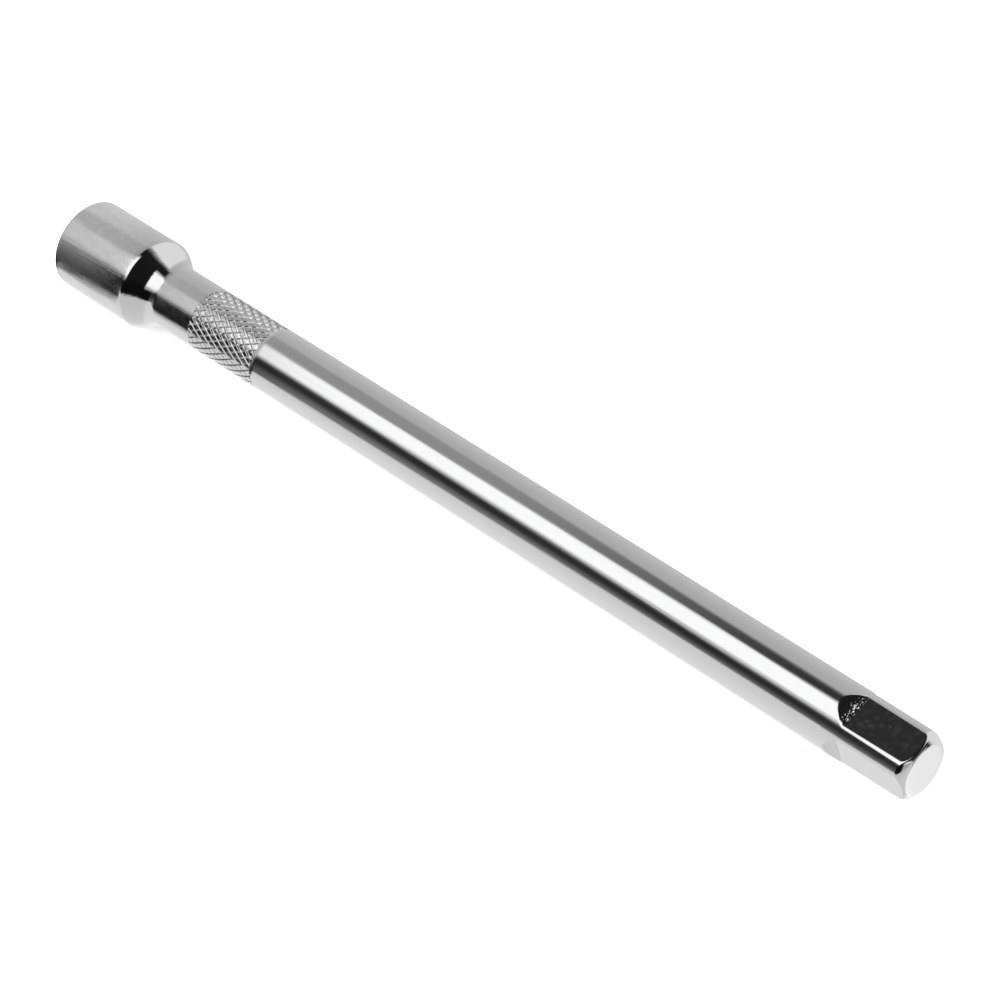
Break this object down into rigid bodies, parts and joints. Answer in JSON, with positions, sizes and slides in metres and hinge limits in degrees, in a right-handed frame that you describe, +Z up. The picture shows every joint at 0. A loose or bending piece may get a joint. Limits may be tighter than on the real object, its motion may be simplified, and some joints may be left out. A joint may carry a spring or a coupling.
{
  "type": "socket extension bar",
  "caption": "Square drive socket extension bar: thick female-square head, rounded shoulder, knurled band, plain round shank and male square with a sprung detent ball.",
  "frame": {"origin": "on the bar's axis, half way along its length, which is the centre of its bounding box", "axes": "+X along the bar from the socket head to the male square; +Y normal to the flat that holds the detent ball; +Z up, normal to the next flat"},
  "size_m": [0.25, 0.022, 0.022],
  "materials": {
    "satin_chrome": "polished chrome plate, satin on the head",
    "ball_steel": "polished bearing steel",
    "spring_steel": "oiled spring wire"
  },
  "bodies": {
    "bar": {"extension_bar": "satin_chrome", "detent_spring": "spring_steel"},
    "ball": {"detent_ball": "ball_steel"}
  },
  "joints": [
    {"name": "detent_ball_press", "type": "slide", "parent": "bar", "child": "ball", "axis": [0, -1, 0], "range_m": [0, 0.0011], "stiffness_N_per_m": 2400, "springref_m": -0.0015, "deforming": ["detent_spring"]}
  ]
}
